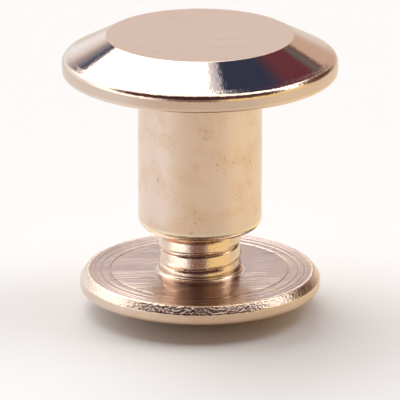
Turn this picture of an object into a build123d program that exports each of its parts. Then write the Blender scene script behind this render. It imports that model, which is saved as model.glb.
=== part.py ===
from build123d import *

import os
from math import radians, sqrt, tan

# Binding barrel screw, three turns open and standing on its domed screw head.
# Sizes are millimetres. Z is the common axis of both pieces, +Z up, with z = 0
# at the crown of the dome that the part stands on.

# Thread that joins the two pieces, M3.5 coarse. The helix itself is left plain:
# the shank stands at its crests and the bore clears them.
thread_dia = 3.44
thread_pitch = 0.6
thread_clearance = 0.03

# Barrel post: a tube with a blind bore under a bevelled flat head
barrel_dia = 5.0
barrel_length = 6.4
mouth_round = 0.35
bore_lead_in = 0.2
bore_point_angle = 118
bore_end_clearance = 0.3
neck_fillet = 0.12

post_head_dia = 11.1
post_head_thickness = 1.6
flat_top_dia = 7.55
lip_height = 0.67
lip_foot_round = 0.18
lip_shoulder_round = 0.3
flat_edge_round = 0.06

# Binding screw: a threaded shank on a thin domed head
screw_head_dia = 9.75
rim_height = 0.72
rim_top_round = 0.24
rim_foot_round = 0.2
dome_height = 0.95
shank_setback = 0.3
shank_root_fillet = 0.12
shank_tip_chamfer = 0.4

# Drive recess in the dome: a long slot for a blade, crossed by two tapered
# wings and a tapered core for a cross point driver
slot_width = 1.0
slot_depth = 0.72
wing_span = 3.5
wing_foot_span = 1.2
wing_width = 0.95
recess_core_dia = 1.8
recess_core_foot_dia = 0.7
recess_depth = 1.35

# How far the pieces are screwed together
closed_gap = 0.1
turns_open = 3

# Radii and levels that follow from the sizes above
bore_radius = thread_dia / 2 + thread_clearance
shank_radius = thread_dia / 2
shank_length = barrel_length - shank_setback
bore_depth = shank_length - closed_gap + bore_end_clearance
bore_point_depth = bore_depth + bore_radius / tan(radians(bore_point_angle / 2))

face_z = dome_height + rim_height
shank_tip_z = face_z + shank_length
mouth_z = face_z + closed_gap + turns_open * thread_pitch
post_head_z = mouth_z + barrel_length
top_z = post_head_z + post_head_thickness

dome_radius = ((screw_head_dia / 2) ** 2 + dome_height**2) / (2 * dome_height)
half_dome_x = screw_head_dia / 4
half_dome_z = dome_radius - sqrt(dome_radius**2 - half_dome_x**2)


# The post is one turning: tube, neck, lip, bevel and flat in one outline
with BuildPart() as barrel_post:
    with BuildSketch(Plane.XZ):
        with BuildLine():
            outside = FilletPolyline(
                (bore_radius + bore_lead_in, mouth_z),
                (barrel_dia / 2, mouth_z),
                (barrel_dia / 2, post_head_z),
                (post_head_dia / 2, post_head_z),
                (post_head_dia / 2, post_head_z + lip_height),
                (flat_top_dia / 2, top_z),
                (0, top_z),
                radius=[mouth_round, neck_fillet, lip_foot_round, lip_shoulder_round, flat_edge_round],
            )
            Polyline(
                outside @ 1,
                (0, mouth_z + bore_point_depth),
                (bore_radius, mouth_z + bore_depth),
                (bore_radius, mouth_z + bore_lead_in),
                outside @ 0,
            )
        make_face()
    revolve(axis=Axis.Z)

barrel_post.part.label = "barrel_post"


# The screw is headed from one blank: dome, rim, flat inner face and shank
with BuildPart() as binding_screw:
    with BuildSketch(Plane.XZ) as blank:
        with BuildLine():
            dome = ThreePointArc((0, 0), (half_dome_x, half_dome_z), (screw_head_dia / 2, dome_height))
            Polyline(
                dome @ 1,
                (screw_head_dia / 2, face_z),
                (shank_radius, face_z),
                (shank_radius, shank_tip_z - shank_tip_chamfer),
                (shank_radius - shank_tip_chamfer, shank_tip_z),
                (0, shank_tip_z),
                (0, 0),
            )
        make_face()
        for corner, round_radius in (
            ((screw_head_dia / 2, dome_height), rim_foot_round),
            ((screw_head_dia / 2, face_z), rim_top_round),
            ((shank_radius, face_z), shank_root_fillet),
        ):
            fillet(blank.vertices().sort_by_distance(corner)[0], radius=round_radius)
    revolve(axis=Axis.Z)

    # The slot runs out where the dome rises past its flat floor
    with BuildSketch(Plane.XY):
        Rectangle(screw_head_dia, slot_width)
    extrude(amount=slot_depth, mode=Mode.SUBTRACT)

    # Two wings narrow towards the foot of the recess, square to each other
    for wing_plane in (Plane.XZ, Plane.YZ):
        with BuildSketch(wing_plane):
            with BuildLine():
                Polyline(
                    (-wing_span / 2, 0),
                    (wing_span / 2, 0),
                    (wing_foot_span / 2, recess_depth),
                    (-wing_foot_span / 2, recess_depth),
                    close=True,
                )
            make_face()
        extrude(amount=wing_width / 2, both=True, mode=Mode.SUBTRACT)

    # The core breaks the inner corners between the wings
    with BuildSketch(Plane.XY):
        Circle(recess_core_dia / 2)
    with BuildSketch(Plane.XY.offset(recess_depth)):
        Circle(recess_core_foot_dia / 2)
    loft(mode=Mode.SUBTRACT)

binding_screw.part.label = "binding_screw"


os.makedirs("parts", exist_ok=True)
export_step(barrel_post.part, "parts/barrel_post.step")
export_step(binding_screw.part, "parts/binding_screw.step")
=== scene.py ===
import math

import bmesh
import bpy
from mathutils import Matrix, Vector


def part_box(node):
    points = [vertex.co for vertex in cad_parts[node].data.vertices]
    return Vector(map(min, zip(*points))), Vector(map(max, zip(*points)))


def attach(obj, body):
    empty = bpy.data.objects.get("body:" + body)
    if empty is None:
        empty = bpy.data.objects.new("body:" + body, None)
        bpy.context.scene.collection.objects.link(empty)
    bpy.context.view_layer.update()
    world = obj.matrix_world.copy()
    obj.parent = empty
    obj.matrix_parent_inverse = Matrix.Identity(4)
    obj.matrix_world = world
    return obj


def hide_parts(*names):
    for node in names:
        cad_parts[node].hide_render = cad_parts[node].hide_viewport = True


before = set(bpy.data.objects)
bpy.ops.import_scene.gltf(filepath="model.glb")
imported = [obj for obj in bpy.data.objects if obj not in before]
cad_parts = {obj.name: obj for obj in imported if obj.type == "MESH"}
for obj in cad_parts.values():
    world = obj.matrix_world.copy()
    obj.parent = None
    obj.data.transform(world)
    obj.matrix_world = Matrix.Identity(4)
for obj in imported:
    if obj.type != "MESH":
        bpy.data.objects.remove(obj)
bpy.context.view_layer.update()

mm = 0.001
aroundSteps = 192        # faces round the axis, alike in every turned part so that their rings meet
roundStepDeg = 8         # turn of each facet along a rounded corner
supportGap = 0.015 * mm  # loop beside each round, which keeps flat stretches flat in the shading
mergeGap = 0.0008 * mm
postLow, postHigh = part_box("barrel_post")
screwLow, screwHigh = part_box("binding_screw")


# Node helpers

def addNode(tree, kind, **settings):
    node = tree.nodes.new(kind)
    for name, value in settings.items():
        setattr(node, name, value)
    return node


def feed(tree, target, value):
    # a socket is linked, anything else becomes the value itself
    if isinstance(value, bpy.types.NodeSocket):
        tree.links.new(value, target)
    else:
        target.default_value = value


def calc(tree, operation, *values):
    node = addNode(tree, "ShaderNodeMath", operation=operation)
    for target, value in zip(node.inputs, values):
        feed(tree, target, value)
    return node.outputs[0]


def softStep(tree, value, low, high, lowOut=0.0, highOut=1.0):
    node = addNode(tree, "ShaderNodeMapRange", interpolation_type="SMOOTHSTEP")
    for target, given in zip(node.inputs, (value, low, high, lowOut, highOut)):
        feed(tree, target, given)
    return node.outputs["Result"]


def mixColor(tree, share, colorA, colorB):
    node = addNode(tree, "ShaderNodeMix", data_type="RGBA")
    feed(tree, node.inputs[0], share)
    feed(tree, node.inputs[6], colorA)
    feed(tree, node.inputs[7], colorB)
    return node.outputs[2]


def noise(tree, vector, size, detail=2.0, roughness=0.5, distortion=0.0):
    node = addNode(tree, "ShaderNodeTexNoise")
    feed(tree, node.inputs["Vector"], vector)
    feed(tree, node.inputs["Scale"], calc(tree, "DIVIDE", 1.0, size))
    node.inputs["Detail"].default_value = detail
    node.inputs["Roughness"].default_value = roughness
    node.inputs["Distortion"].default_value = distortion
    return node.outputs[0]


def newGroup(name, treeType, inputs, outputs):
    # inputs are (name, socket type, default), outputs are (name, socket type)
    group = bpy.data.node_groups.new(name, treeType)
    for label, kind, default in inputs:
        item = group.interface.new_socket(label, in_out="INPUT", socket_type=kind)
        if default is not None:
            item.default_value = default
    for label, kind in outputs:
        group.interface.new_socket(label, in_out="OUTPUT", socket_type=kind)
    return group, addNode(group, "NodeGroupInput").outputs, addNode(group, "NodeGroupOutput").inputs


# Effects that the finishes share. Lengths inside them are in millimetres, colours are linear.

plating = (0.87, 0.70, 0.575, 1)
stain = (0.80, 0.57, 0.37, 1)
speckBrown = (0.36, 0.22, 0.14, 1)
scratchBrown = (0.30, 0.20, 0.15, 1)


def makeOrangePeel():
    # the fine ripple that polish and plating leave, which breaks up the edges of reflections
    group, given, result = newGroup(
        "orangePeel", "ShaderNodeTree",
        [("Millimetres", "NodeSocketVector", None), ("Size", "NodeSocketFloat", 0.15),
         ("Height", "NodeSocketFloat", 0.002), ("Grit", "NodeSocketFloat", 0.3)],
        [("Height", "NodeSocketFloat")],
    )
    ripple = noise(group, given["Millimetres"], given["Size"], detail=1.0)
    fine = noise(group, given["Millimetres"], calc(group, "MULTIPLY", given["Size"], 0.35), detail=2.0)
    both = calc(group, "MULTIPLY_ADD", fine, given["Grit"], ripple)
    feed(group, result["Height"], calc(group, "MULTIPLY", both, given["Height"]))
    return group


def makePlatingTone():
    # warm clouds and small brown specks in the plating, and the cloud mask that roughness follows
    group, given, result = newGroup(
        "platingTone", "ShaderNodeTree",
        [("Millimetres", "NodeSocketVector", None), ("Plating", "NodeSocketColor", None),
         ("Stain", "NodeSocketColor", None), ("Stain Amount", "NodeSocketFloat", 0.2),
         ("Cloud Size", "NodeSocketFloat", 1.5), ("Speck Amount", "NodeSocketFloat", 0.0),
         ("Speck Size", "NodeSocketFloat", 0.05)],
        [("Color", "NodeSocketColor"), ("Patch", "NodeSocketFloat")],
    )
    cloud = noise(group, given["Millimetres"], given["Cloud Size"], detail=3.0, roughness=0.6, distortion=0.4)
    patch = softStep(group, cloud, 0.42, 0.68)
    share = calc(group, "MULTIPLY", patch, given["Stain Amount"])
    clouded = mixColor(group, share, given["Plating"], given["Stain"])
    grain = noise(group, given["Millimetres"], given["Speck Size"], detail=1.0)
    # the specks come in crowds twelve times their own size
    crowd = noise(group, given["Millimetres"], calc(group, "MULTIPLY", given["Speck Size"], 12.0), detail=2.0)
    specks = calc(group, "MULTIPLY", softStep(group, grain, 0.66, 0.76), softStep(group, crowd, 0.45, 0.6))
    speckShare = calc(group, "MULTIPLY", specks, given["Speck Amount"])
    feed(group, result["Color"], mixColor(group, speckShare, clouded, speckBrown))
    feed(group, result["Patch"], patch)
    return group


def makeToolMarks():
    # turning rings round the axis outside a radius, and long drag lines across the face inside it
    group, given, result = newGroup(
        "toolMarks", "ShaderNodeTree",
        [("Millimetres", "NodeSocketVector", None), ("Ring Spacing", "NodeSocketFloat", 0.2),
         ("Rings From", "NodeSocketFloat", 3.6), ("Ring Height", "NodeSocketFloat", 0.0),
         ("Drag Height", "NodeSocketFloat", 0.0), ("Drag Spacing", "NodeSocketFloat", 0.5),
         ("Drag Turn", "NodeSocketFloat", 0.1), ("Drag Outside", "NodeSocketFloat", 0.3)],
        [("Height", "NodeSocketFloat"), ("Lines", "NodeSocketFloat")],
    )
    split = addNode(group, "ShaderNodeSeparateXYZ")
    feed(group, split.inputs[0], given["Millimetres"])
    fromAxis = calc(group, "SQRT", calc(group, "ADD", calc(group, "POWER", split.outputs["X"], 2.0),
                                        calc(group, "POWER", split.outputs["Y"], 2.0)))
    ringAt = addNode(group, "ShaderNodeCombineXYZ")
    feed(group, ringAt.inputs["X"], fromAxis)
    rings = noise(group, ringAt.outputs[0], given["Ring Spacing"], detail=3.0, roughness=0.7)
    ringMask = softStep(group, fromAxis, given["Rings From"], calc(group, "ADD", given["Rings From"], 0.15))
    ringHeight = calc(group, "MULTIPLY", calc(group, "MULTIPLY", rings, ringMask), given["Ring Height"])

    turned = addNode(group, "ShaderNodeVectorRotate", rotation_type="Z_AXIS")
    feed(group, turned.inputs["Vector"], given["Millimetres"])
    feed(group, turned.inputs["Angle"], given["Drag Turn"])
    stretch = addNode(group, "ShaderNodeMapping")
    stretch.inputs["Scale"].default_value = (0.02, 1.0, 1.0)
    feed(group, stretch.inputs["Vector"], turned.outputs[0])
    # the thin places where a stretched noise passes its middle make long separate lines
    wide = noise(group, stretch.outputs[0], given["Drag Spacing"], detail=0.0)
    fine = noise(group, stretch.outputs[0], calc(group, "MULTIPLY", given["Drag Spacing"], 0.3), detail=1.0)
    wideLines = softStep(group, calc(group, "ABSOLUTE", calc(group, "SUBTRACT", wide, 0.5)), 0.035, 0.0)
    fineLines = softStep(group, calc(group, "ABSOLUTE", calc(group, "SUBTRACT", fine, 0.47)), 0.06, 0.0)
    broken = softStep(group, noise(group, given["Millimetres"], 1.3, detail=1.0), 0.32, 0.5)
    lines = calc(group, "MULTIPLY", calc(group, "MULTIPLY_ADD", fineLines, 0.3, wideLines), broken)
    reach = calc(group, "SUBTRACT", 1.0, calc(group, "MULTIPLY", ringMask, calc(
        group, "SUBTRACT", 1.0, given["Drag Outside"])))
    lines = calc(group, "MULTIPLY", lines, reach)
    dragHeight = calc(group, "MULTIPLY", lines, calc(group, "MULTIPLY", given["Drag Height"], -1.0))
    feed(group, result["Height"], calc(group, "ADD", ringHeight, dragHeight))
    feed(group, result["Lines"], lines)
    return group


orangePeel = makeOrangePeel()
platingTone = makePlatingTone()
toolMarks = makeToolMarks()
print("finishes ready")


# Plated metal

finishes = {
    # polished head of the post, its lip and underside
    "brightPlating": dict(roughness=0.05, patchRoughness=0.03, size=0.13, height=0.0022, grit=0.5,
                          stainAmount=0.12, cloudSize=2.2, speckAmount=0.25, speckSize=0.06),
    # the round between bevel and lip, a little rougher than they are
    "shoulderPlating": dict(roughness=0.06, patchRoughness=0.03, size=0.11, height=0.007, grit=0.5,
                            stainAmount=0.12, cloudSize=2.2),
    # barrel wall: satin, clouded and specked
    "barrelPlating": dict(roughness=0.16, patchRoughness=0.06, size=0.3, height=0.0012, grit=0.3,
                          stainAmount=0.5, cloudSize=1.1, speckAmount=0.9, speckSize=0.09,
                          spot=(-0.15, -2.5, 6.85), spotRadius=0.42, spotAmount=0.55),
    # flat top of the post: brushed once
    "flatPlating": dict(roughness=0.11, patchRoughness=0.03, size=0.3, height=0.0006, grit=0.3,
                        stainAmount=0.15, cloudSize=3.0, ringsFrom=9.0, dragHeight=0.0005,
                        dragSpacing=0.35, dragTurn=-0.05, lineAmount=0.12),
    # inner face of the screw head: turned near the rim, dragged across inside it; its base colour is darker
    # and pinker than the plating, partly the turned face's duller tone and partly painted shade under the
    # parts above it
    "turnedPlating": dict(color=(0.58, 0.46, 0.41, 1), roughness=0.2, patchRoughness=0.04,
                          size=0.2, height=0.0008, grit=0.3, stainAmount=0.2, cloudSize=2.0,
                          ringSpacing=0.12, ringsFrom=3.6, ringHeight=0.0022,
                          dragHeight=0.009, dragSpacing=0.5, dragTurn=-0.12, dragOutside=0.4,
                          lineAmount=0.65),
    # rim and dome of the screw head: rumbled, so its ripple is finer and sharper
    "rumbledPlating": dict(roughness=0.07, patchRoughness=0.04, size=0.075, height=0.013, grit=0.5,
                           stainAmount=0.3, cloudSize=1.4, speckAmount=0.3, speckSize=0.05),
    # the round at the mouth of the barrel, painted a paler gold: a painted highlight that stands in for the
    # bright band it reflects
    "mouthPlating": dict(color=(0.98, 0.86, 0.66, 1), roughness=0.09, patchRoughness=0.04,
                         size=0.12, height=0.006, grit=0.5, stainAmount=0.2, cloudSize=0.8),
    # sloped upper edge of the screw head's rim, peened where the pieces knock together in the drum
    "rimEdgePlating": dict(roughness=0.06, patchRoughness=0.03, size=0.1, height=0.018, grit=0.4,
                           stainAmount=0.2, cloudSize=1.4),
    # both threads, the shank's tip and the end of the bore
    "threadPlating": dict(roughness=0.11, patchRoughness=0.06, size=0.09, height=0.006, grit=0.6,
                          stainAmount=0.35, cloudSize=0.8, speckAmount=0.3, speckSize=0.05),
}


def useGroup(tree, group, look, **links):
    # an input takes the link of its name, then the finish's value of its name, or keeps its own default
    node = addNode(tree, "ShaderNodeGroup", node_tree=group)
    for target in node.inputs:
        key = target.name.replace(" ", "")
        key = key[0].lower() + key[1:]
        if key in links or key in look:
            feed(tree, target, links.get(key, look.get(key)))
    return node.outputs


def platedMetal(name):
    look = finishes[name]
    material = bpy.data.materials.new(name)
    material.use_nodes = True
    tree = material.node_tree
    shader = tree.nodes["Principled BSDF"]
    scaled = addNode(tree, "ShaderNodeVectorMath", operation="SCALE")
    feed(tree, scaled.inputs[0], addNode(tree, "ShaderNodeTexCoord").outputs["Object"])
    scaled.inputs["Scale"].default_value = 1 / mm
    millimetres = scaled.outputs[0]
    tone = useGroup(tree, platingTone, look, millimetres=millimetres,
                    plating=look.get("color", plating), stain=stain)
    color = tone["Color"]
    height = useGroup(tree, orangePeel, look, millimetres=millimetres)["Height"]
    if "dragHeight" in look:
        marks = useGroup(tree, toolMarks, look, millimetres=millimetres)
        height = calc(tree, "ADD", height, marks["Height"])
        share = calc(tree, "MULTIPLY", marks["Lines"], look["lineAmount"])
        color = mixColor(tree, share, color, scratchBrown)
    if "spot" in look:
        # one old stain with a ragged edge
        away = addNode(tree, "ShaderNodeVectorMath", operation="DISTANCE")
        feed(tree, away.inputs[0], millimetres)
        away.inputs[1].default_value = look["spot"]
        radius = look["spotRadius"]
        grain = noise(tree, millimetres, 0.3, detail=3.0)
        ragged = calc(tree, "MULTIPLY_ADD", grain, radius, away.outputs["Value"])
        inSpot = softStep(tree, ragged, radius * 1.15, radius * 0.6)
        share = calc(tree, "MULTIPLY", inSpot, look["spotAmount"])
        color = mixColor(tree, share, color, stain)
    bump = addNode(tree, "ShaderNodeBump")
    bump.inputs["Strength"].default_value = 1.0
    bump.inputs["Distance"].default_value = mm
    feed(tree, bump.inputs["Height"], height)
    feed(tree, shader.inputs["Base Color"], color)
    feed(tree, shader.inputs["Roughness"],
         calc(tree, "MULTIPLY_ADD", tone["Patch"], look["patchRoughness"], look["roughness"]))
    feed(tree, shader.inputs["Normal"], bump.outputs[0])
    shader.inputs["Metallic"].default_value = 1.0
    return material


materials = {name: platedMetal(name) for name in finishes}
finishOrder = list(finishes)


# Turned outlines: corners of (radius, height, round, finish of the run that starts there), all in metres

def roundCorner(before, corner, after, radius):
    toBefore = (before - corner).normalized()
    toAfter = (after - corner).normalized()
    half = toBefore.angle(toAfter) / 2
    reach = radius / math.tan(half)
    centre = corner + (toBefore + toAfter).normalized() * radius / math.sin(half)
    start = corner + toBefore * reach - centre
    end = corner + toAfter * reach - centre
    turn = math.pi - 2 * half
    steps = max(3, math.ceil(math.degrees(turn) / roundStepDeg))
    points = [corner + toBefore * (reach + supportGap)]
    for i in range(steps + 1):
        swing = i / steps * turn
        points.append(centre + (start * math.sin(turn - swing) + end * math.sin(swing)) / math.sin(turn))
    points.append(corner + toAfter * (reach + supportGap))
    return points


def turnedOutline(corners):
    outline = []
    for i, (radius, height, rounding, finish) in enumerate(corners):
        corner = Vector((radius, height))
        if rounding:
            before = Vector(corners[i - 1][:2])
            after = Vector(corners[i + 1][:2])
            outline += [(point.x, point.y, finish) for point in roundCorner(before, corner, after, rounding)]
        else:
            outline.append((radius, height, finish))
    return outline


def spinOutline(mesh, outline):
    # adds the turned surface to a bmesh; a point on the axis becomes one pole vertex
    rings = []
    for radius, height, _ in outline:
        if radius < mergeGap:
            rings.append([mesh.verts.new((0, 0, height))])
            continue
        angles = [2 * math.pi * i / aroundSteps for i in range(aroundSteps)]
        rings.append([mesh.verts.new((radius * math.cos(a), radius * math.sin(a), height)) for a in angles])
    for (lower, upper), (_, _, finish) in zip(zip(rings, rings[1:]), outline):
        for i in range(aroundSteps):
            j = (i + 1) % aroundSteps
            corners = [lower[i % len(lower)], lower[j % len(lower)],
                       upper[j % len(upper)], upper[i % len(upper)]]
            face = mesh.faces.new(dict.fromkeys(corners))
            face.material_index = finishOrder.index(finish)


# The thread: a grid swept round the axis, pushed in where the groove runs

def makeThreadTree():
    spareTurns = 4.0        # half of them below the foot and half above the top, where they fold flat
    leanBack = 0.14         # share of the pitch on each side of a groove's middle over which the lean returns
    numbers = ("Crest Radius", "Groove Depth", "Pitch", "Foot", "Top", "Groove At", "Shallow Share",
               "Run In", "Full From", "Run Out", "Flank Slope", "Root Half Width", "Rounding", "Crest Lean",
               "Collar Height", "Collar Length", "Tip Radius")
    group, given, result = newGroup(
        "threadTube", "GeometryNodeTree",
        [(label, "NodeSocketFloat", 0.0) for label in numbers]
        + [("Around", "NodeSocketInt", 192), ("Rows", "NodeSocketInt", 14),
           ("Material", "NodeSocketMaterial", None)],
        [("Geometry", "NodeSocketGeometry")],
    )
    span = calc(group, "SUBTRACT", given["Top"], given["Foot"])
    turns = calc(group, "ADD", calc(group, "CEIL", calc(group, "DIVIDE", span, given["Pitch"])), spareTurns)
    grid = addNode(group, "GeometryNodeMeshGrid")
    feed(group, grid.inputs["Size X"], turns)
    grid.inputs["Size Y"].default_value = 1.0
    feed(group, grid.inputs["Vertices X"], calc(group, "MULTIPLY_ADD", turns, given["Around"], 1.0))
    feed(group, grid.inputs["Vertices Y"], calc(group, "ADD", given["Rows"], 1.0))
    place = addNode(group, "ShaderNodeSeparateXYZ")
    feed(group, place.inputs[0], addNode(group, "GeometryNodeInputPosition").outputs[0])

    # along the helix in turns, and across one pitch from -0.5 to 0.5
    fromStart = calc(group, "MULTIPLY_ADD", turns, 0.5, place.outputs["X"])
    turn = calc(group, "SUBTRACT", fromStart, spareTurns / 2)
    across = place.outputs["Y"]
    rise = calc(group, "MULTIPLY", calc(group, "ADD", turn, across), given["Pitch"])
    grooveRise = calc(group, "SUBTRACT", given["Groove At"], given["Foot"])
    firstGroove = calc(group, "FLOORED_MODULO", grooveRise, given["Pitch"])
    helix = calc(group, "ADD", rise, calc(group, "ADD", given["Foot"], firstGroove))
    height = calc(group, "MINIMUM", calc(group, "MAXIMUM", helix, given["Foot"]), given["Top"])

    # depth of the cut here: shallow near the foot, faded out at both ends
    fromFoot = calc(group, "SUBTRACT", height, given["Foot"])
    fromTop = calc(group, "SUBTRACT", given["Top"], height)
    ends = calc(group, "MULTIPLY", softStep(group, fromFoot, 0.0, given["Run In"]),
                softStep(group, fromTop, 0.0, given["Run Out"]))
    deepen = softStep(group, fromFoot, given["Run In"], given["Full From"], given["Shallow Share"], 1.0)
    root = calc(group, "MULTIPLY", deepen, given["Groove Depth"])
    fromMiddle = calc(group, "MULTIPLY", calc(group, "ABSOLUTE", across), given["Pitch"])
    flankRun = calc(group, "SUBTRACT", fromMiddle, given["Root Half Width"])
    flank = calc(group, "SUBTRACT", root, calc(group, "MULTIPLY", flankRun, given["Flank Slope"]))
    bottom = calc(group, "SMOOTH_MIN", root, flank, given["Rounding"])
    groove = calc(group, "SMOOTH_MAX", bottom, 0.0, given["Rounding"])
    depth = calc(group, "MULTIPLY", ends, groove)
    # the crests lean inwards as they rise, and a collar tapers up from the foot
    overGroove = softStep(group, across, -leanBack, leanBack, -0.5, 0.5)
    lean = calc(group, "MULTIPLY", calc(group, "SUBTRACT", overGroove, across),
                calc(group, "MULTIPLY", given["Crest Lean"], given["Pitch"]))
    collarShare = calc(group, "SUBTRACT", 1.0, calc(group, "DIVIDE", fromFoot, given["Collar Length"]))
    collar = calc(group, "MULTIPLY", given["Collar Height"], calc(group, "MAXIMUM", collarShare, 0.0))
    swell = calc(group, "ADD", collar, calc(group, "MULTIPLY", lean, ends))
    crest = calc(group, "ADD", given["Crest Radius"], swell)
    lead = calc(group, "ADD", given["Tip Radius"], fromTop)
    radius = calc(group, "MINIMUM", calc(group, "SUBTRACT", crest, depth), lead)

    angle = calc(group, "MULTIPLY", turn, 2 * math.pi)
    moved = addNode(group, "ShaderNodeCombineXYZ")
    feed(group, moved.inputs["X"], calc(group, "MULTIPLY", radius, calc(group, "COSINE", angle)))
    feed(group, moved.inputs["Y"], calc(group, "MULTIPLY", radius, calc(group, "SINE", angle)))
    feed(group, moved.inputs["Z"], height)
    bend = addNode(group, "GeometryNodeSetPosition")
    feed(group, bend.inputs["Geometry"], grid.outputs["Mesh"])
    feed(group, bend.inputs["Position"], moved.outputs[0])
    weld = addNode(group, "GeometryNodeMergeByDistance")
    feed(group, weld.inputs["Geometry"], bend.outputs[0])
    weld.inputs["Distance"].default_value = mergeGap
    real = addNode(group, "GeometryNodeRealizeInstances")
    feed(group, real.inputs["Geometry"], weld.outputs[0])
    coat = addNode(group, "GeometryNodeSetMaterial")
    feed(group, coat.inputs["Geometry"], real.outputs[0])
    feed(group, coat.inputs["Material"], given["Material"])
    feed(group, result["Geometry"], coat.outputs[0])
    return group


threadTree = makeThreadTree()


def addThread(shape, **sizes):
    # runs the thread tree once and joins the plain mesh that comes out of it to the turned shape
    holder = bpy.data.objects.new("threadHolder", bpy.data.meshes.new("threadHolder"))
    bpy.context.scene.collection.objects.link(holder)
    modifier = holder.modifiers.new("thread", "NODES")
    modifier.node_group = threadTree
    for item in threadTree.interface.items_tree:
        if item.in_out == "INPUT":
            key = item.name.replace(" ", "")
            modifier[item.identifier] = sizes[key[0].lower() + key[1:]]
    mesh = bpy.data.meshes.new_from_object(holder.evaluated_get(bpy.context.evaluated_depsgraph_get()))
    bpy.data.objects.remove(holder)
    turnedFaces = len(shape.faces)
    shape.from_mesh(mesh)
    for face in list(shape.faces)[turnedFaces:]:
        face.material_index = finishOrder.index("threadPlating")


def finishShape(name, shape):
    # welds the turned rings to the thread and points the faces outwards
    bmesh.ops.remove_doubles(shape, verts=shape.verts, dist=mergeGap)
    bmesh.ops.dissolve_degenerate(shape, edges=shape.edges, dist=mergeGap / 10)
    bmesh.ops.recalc_face_normals(shape, faces=shape.faces)
    openEdges = sum(1 for edge in shape.edges if not edge.is_manifold)
    mesh = bpy.data.meshes.new(name)
    shape.to_mesh(mesh)
    shape.free()
    for finish in finishOrder:
        mesh.materials.append(materials[finish])
    print(name, len(mesh.polygons), "faces,", openEdges, "open edges")
    return mesh


def placePiece(name, mesh, node, body, sharpDeg=32):
    mesh.shade_smooth()
    mesh.set_sharp_from_angle(angle=math.radians(sharpDeg))
    piece = bpy.data.objects.new(name, mesh)
    bpy.context.scene.collection.objects.link(piece)
    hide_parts(node)
    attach(piece, body)
    print(name, "placed")
    return piece


def grooveRing(radius, width, depth, height, finish):
    # a shallow ring that a tool point leaves in a flat face, from its outer edge to its inner one
    steps = 6
    points = []
    for i in range(steps + 1):
        share = i / steps
        sink = depth * math.sin(math.pi * share) ** 2
        points.append((radius + width * (0.5 - share), height - sink, 0, finish))
    return points


# Barrel post

post = {
    "barrelRadius": 2.5 * mm,
    "mouthRound": 0.35 * mm,
    "boreRadius": 1.75 * mm,
    "boreLeadIn": 0.2 * mm,
    "boreDepth": 6.3 * mm,
    "borePoint": 1.05 * mm,
    "ridgeHeight": 0.16 * mm,       # how far the inner thread stands into the bore
    "ridgeHalfTip": 0.03 * mm,
    "threadFade": 0.4 * mm,
    "neckFillet": 0.12 * mm,
    "headThickness": 1.6 * mm,
    "headRadius": 5.55 * mm,
    "flatRadius": 3.775 * mm,
    "lipHeight": 0.67 * mm,
    "lipFootRound": 0.18 * mm,
    "lipShoulderRound": 0.3 * mm,
    "flatEdgeRound": 0.06 * mm,
    "shoulderWidth": 0.35 * mm,     # how far in from the lip the shoulder's own finish reaches
}


# Binding screw, whose pitch and grooves the post's inner thread follows

screw = {
    "pitch": 0.6 * mm,
    "grooveAt": 0.65 * mm,          # height above the face of a groove's middle, on the +X side
    "crestRadius": 1.64 * mm,
    "crestLean": 0.23,              # slope of the crests, which are a little wider at their lower side
    "collarHeight": 0.03 * mm,
    "collarLength": 0.4 * mm,
    "grooveDepth": 0.33 * mm,
    "flankSlope": 2.1,
    "rootHalfWidth": 0.02 * mm,
    "threadRounding": 0.05 * mm,
    "shallowShare": 0.35,           # grooves next to the head are rolled to this share of their depth
    "runIn": 0.25 * mm,
    "fullFrom": 2.6 * mm,
    "threadRows": 14,
    "threadFoot": 0.2 * mm,
    "shankLength": 6.1 * mm,
    "tipChamfer": 0.33 * mm,
    "rootFillet": 0.13 * mm,
    "rimRadius": 4.875 * mm,
    "rimHeight": 0.72 * mm,
    "rimEdgeHeight": 0.3 * mm,      # the sloped edge between wall and inner face, and its rounds
    "rimEdgeWidth": 0.24 * mm,
    "rimEdgeRound": 0.11 * mm,
    "rimFootRound": 0.2 * mm,
    "domeHeight": 0.95 * mm,
    "domeRings": 14,
    "domeShare": 0.95,              # of the rim's radius that the dome's own rings cover
    "turnedRings": [                # radius, width, depth of the rings in the inner face
        (4.42 * mm, 0.07 * mm, 0.009 * mm),
        (4.27 * mm, 0.08 * mm, 0.011 * mm),
        (4.0 * mm, 0.09 * mm, 0.011 * mm),
        (3.62 * mm, 0.13 * mm, 0.016 * mm),
    ],
    "slotWidth": 1.0 * mm,
    "slotDepth": 0.72 * mm,
    "wingSpan": 3.5 * mm,
    "wingFootSpan": 1.2 * mm,
    "wingWidth": 0.95 * mm,
    "coreRadius": 0.9 * mm,
    "coreFootRadius": 0.35 * mm,
    "coreSides": 32,
    "recessDepth": 1.35 * mm,
}
screwFace = screwHigh.z - screw["shankLength"]


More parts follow.
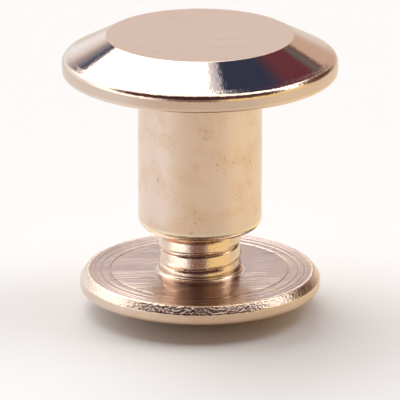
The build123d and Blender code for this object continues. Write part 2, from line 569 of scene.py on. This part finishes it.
def makePost():
    mouth = postLow.z
    top = postHigh.z
    underHead = top - post["headThickness"]
    bevelSlope = (post["headThickness"] - post["lipHeight"]) / (post["headRadius"] - post["flatRadius"])
    shoulderEnd = post["headRadius"] - post["shoulderWidth"]
    boreStart = mouth + post["boreLeadIn"]
    boreEnd = mouth + post["boreDepth"]
    shape = bmesh.new()
    spinOutline(shape, turnedOutline([
        (0, boreEnd + post["borePoint"], 0, "threadPlating"),
        (post["boreRadius"], boreEnd, 0, "threadPlating"),
    ]))
    spinOutline(shape, turnedOutline([
        (post["boreRadius"], boreStart, 0, "brightPlating"),
        (post["boreRadius"] + post["boreLeadIn"], mouth, 0, "brightPlating"),
        # the mouth round takes the paler gold of a painted highlight
        (post["barrelRadius"], mouth, post["mouthRound"], "mouthPlating"),
        (post["barrelRadius"], mouth + post["mouthRound"] + 2 * supportGap, 0, "barrelPlating"),
        (post["barrelRadius"], underHead, post["neckFillet"], "brightPlating"),
        (post["headRadius"], underHead, post["lipFootRound"], "brightPlating"),
        (post["headRadius"], underHead + post["lipHeight"], post["lipShoulderRound"], "shoulderPlating"),
        (shoulderEnd, top - (shoulderEnd - post["flatRadius"]) * bevelSlope, 0, "brightPlating"),
        (post["flatRadius"], top, post["flatEdgeRound"], "flatPlating"),
        (0, top, 0, "flatPlating"),
    ]))
    addThread(
        shape, crestRadius=post["boreRadius"], grooveDepth=post["ridgeHeight"], pitch=screw["pitch"],
        foot=boreStart, top=boreEnd, grooveAt=screwFace + screw["grooveAt"], shallowShare=1.0,
        runIn=post["threadFade"], fullFrom=2 * post["threadFade"], runOut=post["threadFade"],
        flankSlope=screw["flankSlope"], rootHalfWidth=post["ridgeHalfTip"], rounding=screw["threadRounding"],
        crestLean=0.0, collarHeight=0.0, collarLength=screw["pitch"],
        tipRadius=2 * post["boreRadius"], around=aroundSteps, rows=screw["threadRows"],
        material=materials["threadPlating"],
    )
    return finishShape("barrelPost", shape)


def recessCutter(crown):
    # slot, two tapered wings and a tapered core, each as its own closed block
    cutter = bmesh.new()

    def block(lowSection, highSection):
        # sections are (half length in x, half length in y, height)
        rings = [[cutter.verts.new((sx * x, sy * y, z)) for sx, sy in ((-1, -1), (1, -1), (1, 1), (-1, 1))]
                 for x, y, z in (lowSection, highSection)]
        cutter.faces.new(rings[0][::-1])
        cutter.faces.new(rings[1])
        for i in range(4):
            j = (i + 1) % 4
            cutter.faces.new((rings[0][i], rings[0][j], rings[1][j], rings[1][i]))

    below = 0.1 * mm            # the blocks start this far under the crown, on the same tapers
    deep = screw["recessDepth"]
    spread = (screw["wingSpan"] - screw["wingFootSpan"]) / 2 * below / deep
    wide = screw["wingSpan"] / 2 + spread
    foot = screw["wingFootSpan"] / 2
    half = screw["wingWidth"] / 2
    block((screw["rimRadius"], screw["slotWidth"] / 2, crown - below),
          (screw["rimRadius"], screw["slotWidth"] / 2, crown + screw["slotDepth"]))
    block((wide, half, crown - below), (foot, half, crown + deep))
    block((half, wide, crown - below), (half, foot, crown + deep))
    coreSpread = (screw["coreRadius"] - screw["coreFootRadius"]) * below / deep
    rings = []
    sides = screw["coreSides"]
    angles = [2 * math.pi * (i + 0.5) / sides for i in range(sides)]
    for radius, z in ((screw["coreRadius"] + coreSpread, crown - below),
                      (screw["coreFootRadius"], crown + deep)):
        rings.append([cutter.verts.new((radius * math.cos(a), radius * math.sin(a), z)) for a in angles])
    cutter.faces.new(rings[0][::-1])
    cutter.faces.new(rings[1])
    for i in range(sides):
        j = (i + 1) % sides
        cutter.faces.new((rings[0][i], rings[0][j], rings[1][j], rings[1][i]))
    bmesh.ops.recalc_face_normals(cutter, faces=cutter.faces)
    mesh = bpy.data.meshes.new("recessCutter")
    cutter.to_mesh(mesh)
    cutter.free()
    return mesh


def cutRecess(mesh, crown):
    blank = bpy.data.objects.new("screwBlank", mesh)
    tool = bpy.data.objects.new("recessCutter", recessCutter(crown))
    for holder in (blank, tool):
        bpy.context.scene.collection.objects.link(holder)
    cut = blank.modifiers.new("recess", "BOOLEAN")
    cut.operation = "DIFFERENCE"
    cut.solver = "EXACT"
    cut.use_self = True
    cut.object = tool
    done = bpy.data.meshes.new_from_object(blank.evaluated_get(bpy.context.evaluated_depsgraph_get()))
    for holder in (blank, tool):
        bpy.data.objects.remove(holder)
    print("recess cut", len(done.polygons), "faces")
    return done


def makeScrew():
    tip = screwHigh.z
    face = screwFace
    rimFoot = face - screw["rimHeight"]
    crown = rimFoot - screw["domeHeight"]
    rimRadius = screw["rimRadius"]
    domeRadius = (rimRadius ** 2 + screw["domeHeight"] ** 2) / (2 * screw["domeHeight"])
    tipRadius = screw["crestRadius"] - screw["tipChamfer"]
    collarRadius = screw["crestRadius"] + screw["collarHeight"]
    shape = bmesh.new()
    dome = []
    for i in range(screw["domeRings"] + 1):
        radius = i / screw["domeRings"] * screw["domeShare"] * rimRadius
        rise = domeRadius - math.sqrt(domeRadius ** 2 - radius ** 2)
        dome.append((radius, crown + rise, 0, "rumbledPlating"))
    rings = [point for ring in screw["turnedRings"] for point in grooveRing(*ring, face, "turnedPlating")]
    spinOutline(shape, turnedOutline(
        dome + [
            (rimRadius, rimFoot, screw["rimFootRound"], "rumbledPlating"),
            (rimRadius, face - screw["rimEdgeHeight"], screw["rimEdgeRound"], "rimEdgePlating"),
            (rimRadius - screw["rimEdgeWidth"], face, screw["rimEdgeRound"], "rimEdgePlating"),
            (rimRadius - screw["rimEdgeWidth"] - screw["rimEdgeRound"], face, 0, "turnedPlating"),
        ] + rings + [
            (collarRadius, face, screw["rootFillet"], "threadPlating"),
            (collarRadius, face + screw["threadFoot"], 0, "threadPlating"),
        ]
    ))
    spinOutline(shape, turnedOutline([
        (tipRadius, tip, 0, "threadPlating"),
        (0, tip, 0, "threadPlating"),
    ]))
    addThread(
        shape, crestRadius=screw["crestRadius"], grooveDepth=screw["grooveDepth"], pitch=screw["pitch"],
        foot=face + screw["threadFoot"], top=tip, grooveAt=face + screw["grooveAt"],
        shallowShare=screw["shallowShare"], runIn=screw["runIn"], fullFrom=screw["fullFrom"], runOut=mergeGap,
        flankSlope=screw["flankSlope"], rootHalfWidth=screw["rootHalfWidth"],
        rounding=screw["threadRounding"],
        crestLean=screw["crestLean"], collarHeight=screw["collarHeight"],
        collarLength=screw["collarLength"], tipRadius=tipRadius, around=aroundSteps,
        rows=screw["threadRows"], material=materials["threadPlating"],
    )
    return cutRecess(finishShape("bindingScrew", shape), crown)


placePiece("barrelPost", makePost(), "barrel_post", "post")
placePiece("bindingScrew", makeScrew(), "binding_screw", "screw")


# Studio: what the metal sees all round it. Directions are x right, y away from the camera, z up.

studio = {
    "surround": (0.82, 0.77, 0.73, 1),
    "clutter": 0.05,            # how far the edges of the cards wander, and over what size
    "clutterSize": 0.12,
    "blotched": ("navyCard", "maroonCard", "brownCard"),    # cards with a cloudy face, how pale and how large
    "blotchShare": 0.045,
    "blotchSize": 0.05,
    # name, colour, then for x, y and z None or (low, softness of low, high, softness of high)
    "cards": [
        ("softbox", (2.75, 2.75, 2.75, 1),
         None, (-0.45, 0.12, 2, 0), (0.3, 0.08, 2, 0)),
        ("overhead", (1.4, 1.36, 1.3, 1),
         None, (-2, 0, 0.1, 0.06), (0.9, 0.03, 2, 0)),
        ("backWall", (0.76, 0.68, 0.665, 1),
         None, (-0.1, 0.1, 2, 0), (-2, 0, 0.42, 0.02)),
        ("backWallLeft", (0.92, 0.97, 1.05, 1),
         (-2, 0, -0.14, 0.1), (-0.1, 0.1, 2, 0), (-2, 0, 0.26, 0.12)),
        ("backWallRight", (0.63, 0.47, 0.39, 1),
         (0.2, 0.08, 2, 0), (0.1, 0.1, 2, 0), (0.05, 0.15, 0.42, 0.02)),
        ("rail", (0.26, 0.17, 0.15, 1),
         (-0.3, 0.1, 0.4, 0.1), (0.3, 0.1, 2, 0), (0.42, 0.02, 0.47, 0.02)),
        ("leftGlow", (1.8, 1.8, 1.75, 1),
         (-2, 0, -0.52, 0.06), (-0.6, 0.2, 2, 0), (0.34, 0.08, 2, 0)),
        ("leftStreak", (0.09, 0.11, 0.19, 1),
         (-0.5, 0.05, -0.24, 0.1), (0.2, 0.1, 2, 0), (0.37, 0.09, 0.54, 0.015)),
        ("lilacStrip", (0.68, 0.72, 0.86, 1),
         (0.04, 0.025, 0.45, 0.1), (0.2, 0.05, 0.5, 0.1), (0.6, 0.1, 2, 0)),
        ("rightShade", (0.14, 0.08, 0.05, 1),
         (0.47, 0.04, 0.96, 0.03), (0.15, 0.1, 0.8, 0.05), (0.1, 0.1, 0.68, 0.08)),
        ("brownCard", (0.17, 0.10, 0.085, 1),
         (0.118, 0.004, 0.46, 0.03), (0.2, 0.02, 0.9, 0.02), (0.415, 0.01, 2, 0)),
        ("greyBand", (0.15, 0.15, 0.15, 1),
         (0.2, 0.02, 0.46, 0.03), (0.74, 0.02, 0.80, 0.01), (0.415, 0.01, 2, 0)),
        ("maroonCard", (0.15, 0.045, 0.065, 1),
         (0.118, 0.004, 0.46, 0.03), (0.2, 0.02, 0.75, 0.01), (0.52, 0.03, 2, 0)),
        ("navyCard", (0.035, 0.05, 0.10, 1),
         (0.118, 0.004, 0.37, 0.03), (0.2, 0.02, 0.54, 0.07), (0.6, 0.1, 2, 0)),
        ("frontLeft", (1.8, 1.8, 1.8, 1),
         (-2, 0, -0.3, 0.1), (-2, 0, 0.1, 0.2), (-2, 0, 0.32, 0.05)),
        ("frontRight", (1.0, 0.78, 0.38, 1),
         (0.3, 0.1, 2, 0), (-2, 0, 0.2, 0.2), (-2, 0, 0.32, 0.05)),
    ],
    # the dark room in front, under an arch that falls to both sides
    "archTop": 0.95,
    "archFall": 0.2,
    "archSoft": 0.03,
    "room": [
        ("roomFront", (0.27, 0.165, 0.14, 1),
         (-0.6, 0.26, 0.3, 0.16), (-2, 0, -0.15, 0.08), (-2, 0, 0.36, 0.1)),
        ("roomSides", (0.10, 0.05, 0.05, 1),
         (-0.9, 0.06, 0.9, 0.06), (-2, 0, -0.05, 0.08), (0.22, 0.08, 2, 0)),
        ("roomMiddle", (0.05, 0.027, 0.034, 1),
         (-0.5, 0.26, 0.28, 0.16), (-2, 0, -0.15, 0.08), (0.36, 0.1, 2, 0)),
    ],
}


def cardMask(tree, axes, ranges):
    # an end at -2 or 2 lies past every direction, so it needs no edge
    mask = 1.0
    for value, span in zip(axes, ranges):
        if span is None:
            continue
        low, lowSoft, high, highSoft = span
        if low > -1:
            mask = calc(tree, "MULTIPLY", mask, softStep(tree, value, low - lowSoft, low + lowSoft))
        if high < 1:
            mask = calc(tree, "MULTIPLY", mask, softStep(tree, value, high + highSoft, high - highSoft))
    return mask


def makeWorld():
    world = bpy.data.worlds.new("studio")
    bpy.context.scene.world = world
    world.use_nodes = True
    tree = world.node_tree
    toward = addNode(tree, "ShaderNodeTexCoord").outputs["Generated"]
    wander = addNode(tree, "ShaderNodeTexNoise")
    feed(tree, wander.inputs["Vector"], toward)
    wander.inputs["Scale"].default_value = 1 / studio["clutterSize"]
    centred = addNode(tree, "ShaderNodeVectorMath", operation="SUBTRACT")
    feed(tree, centred.inputs[0], wander.outputs["Color"])
    centred.inputs[1].default_value = (0.5, 0.5, 0.5)
    wandered = addNode(tree, "ShaderNodeVectorMath", operation="MULTIPLY_ADD")
    feed(tree, wandered.inputs[0], centred.outputs[0])
    wandered.inputs[1].default_value = (studio["clutter"],) * 3
    feed(tree, wandered.inputs[2], toward)
    direction = addNode(tree, "ShaderNodeSeparateXYZ")
    feed(tree, direction.inputs[0], wandered.outputs[0])
    x, y, z = direction.outputs
    blotch = softStep(tree, noise(tree, toward, studio["blotchSize"], detail=2.0), 0.42, 0.68)
    solid = calc(tree, "SUBTRACT", 1.0, calc(tree, "MULTIPLY", blotch, studio["blotchShare"]))
    seen = studio["surround"]
    for name, color, *ranges in studio["cards"]:
        mask = cardMask(tree, (x, y, z), ranges)
        if name in studio["blotched"]:
            mask = calc(tree, "MULTIPLY", mask, solid)
        seen = mixColor(tree, mask, seen, color)
    arch = calc(tree, "MULTIPLY_ADD", calc(tree, "ABSOLUTE", x), studio["archFall"], z)
    archTop, archSoft = studio["archTop"], studio["archSoft"]
    underArch = softStep(tree, arch, archTop + archSoft, archTop - archSoft)
    for _, color, *ranges in studio["room"]:
        mask = calc(tree, "MULTIPLY", cardMask(tree, (x, y, z), ranges), underArch)
        seen = mixColor(tree, mask, seen, color)
    # the camera itself sees plain white behind the part
    ray = addNode(tree, "ShaderNodeLightPath")
    shown = mixColor(tree, ray.outputs["Is Camera Ray"], seen, (1, 1, 1, 1))
    feed(tree, tree.nodes["Background"].inputs["Color"], shown)


floorPaper = {
    "size": 3.0,
    "frontEdge": -50 * mm,      # past it the polished edges see the dark room
    "left": (0.87, 0.88, 0.90, 1),
    # painted warm light from a reflector
    "right": (0.88, 0.80, 0.63, 1),
    # painted shade on the camera side
    "front": (0.70, 0.63, 0.55, 1),
    "farShare": 0.84,           # how pale the paper still is well past farFrom
    "farFrom": 28 * mm,
    "seen": (0.95, 0.95, 0.95, 1),
}


def makeFloor():
    size = floorPaper["size"]
    frontEdge = floorPaper["frontEdge"]
    farFrom = floorPaper["farFrom"]
    mesh = bpy.data.meshes.new("floor")
    low = min(postLow.z, screwLow.z)
    corners = [(-size, frontEdge, low), (size, frontEdge, low), (size, size, low), (-size, size, low)]
    mesh.from_pydata(corners, [], [(0, 1, 2, 3)])
    material = bpy.data.materials.new("floorPaper")
    material.use_nodes = True
    tree = material.node_tree
    tree.nodes.remove(tree.nodes["Principled BSDF"])
    paper = addNode(tree, "ShaderNodeBsdfDiffuse")
    # the paper is warmer to the right, painted warm light from a reflector, and darker towards the front,
    # painted shade on the camera side; only the metal shows it
    where = addNode(tree, "ShaderNodeVectorMath", operation="NORMALIZE")
    feed(tree, where.inputs[0], addNode(tree, "ShaderNodeTexCoord").outputs["Object"])
    side = addNode(tree, "ShaderNodeSeparateXYZ")
    feed(tree, side.inputs[0], where.outputs[0])
    paintedWarmthShare = softStep(tree, side.outputs["X"], -0.9, 0.9)
    across = mixColor(tree, paintedWarmthShare, floorPaper["left"], floorPaper["right"])
    paintedShadeShare = softStep(tree, side.outputs["Y"], -0.35, -1.0)
    near = mixColor(tree, paintedShadeShare, across, floorPaper["front"])
    away = addNode(tree, "ShaderNodeVectorMath", operation="LENGTH")
    feed(tree, away.inputs[0], addNode(tree, "ShaderNodeTexCoord").outputs["Object"])
    fade = softStep(tree, away.outputs["Value"], farFrom, 1.4 * farFrom, 1.0, floorPaper["farShare"])
    paperWithPaintedLight = mixColor(tree, fade, (0, 0, 0, 1), near)
    ray = addNode(tree, "ShaderNodeLightPath")
    shown = mixColor(tree, ray.outputs["Is Camera Ray"], paperWithPaintedLight, floorPaper["seen"])
    feed(tree, paper.inputs["Color"], shown)
    feed(tree, tree.nodes["Material Output"].inputs["Surface"], paper.outputs[0])
    mesh.materials.append(material)
    floor = bpy.data.objects.new("floor", mesh)
    bpy.context.scene.collection.objects.link(floor)


view = {"distance": 220 * mm, "elevation": 18.26, "aimHeight": 4.6 * mm, "lens": 489.0, "sensor": 36.0}


def makeCamera():
    rise = math.radians(view["elevation"])
    back = Vector((0, -math.cos(rise), math.sin(rise)))
    data = bpy.data.cameras.new("camera")
    data.lens = view["lens"]
    data.sensor_width = view["sensor"]
    data.clip_start = 0.01
    data.clip_end = 20.0
    camera = bpy.data.objects.new("camera", data)
    camera.location = Vector((0, 0, view["aimHeight"])) + back * view["distance"]
    camera.rotation_mode = "QUATERNION"
    camera.rotation_quaternion = (-back).to_track_quat("-Z", "Y")
    bpy.context.scene.collection.objects.link(camera)
    bpy.context.scene.camera = camera


makeWorld()
makeFloor()
makeCamera()
bpy.context.scene.view_settings.view_transform = "Standard"
print("studio and camera ready")
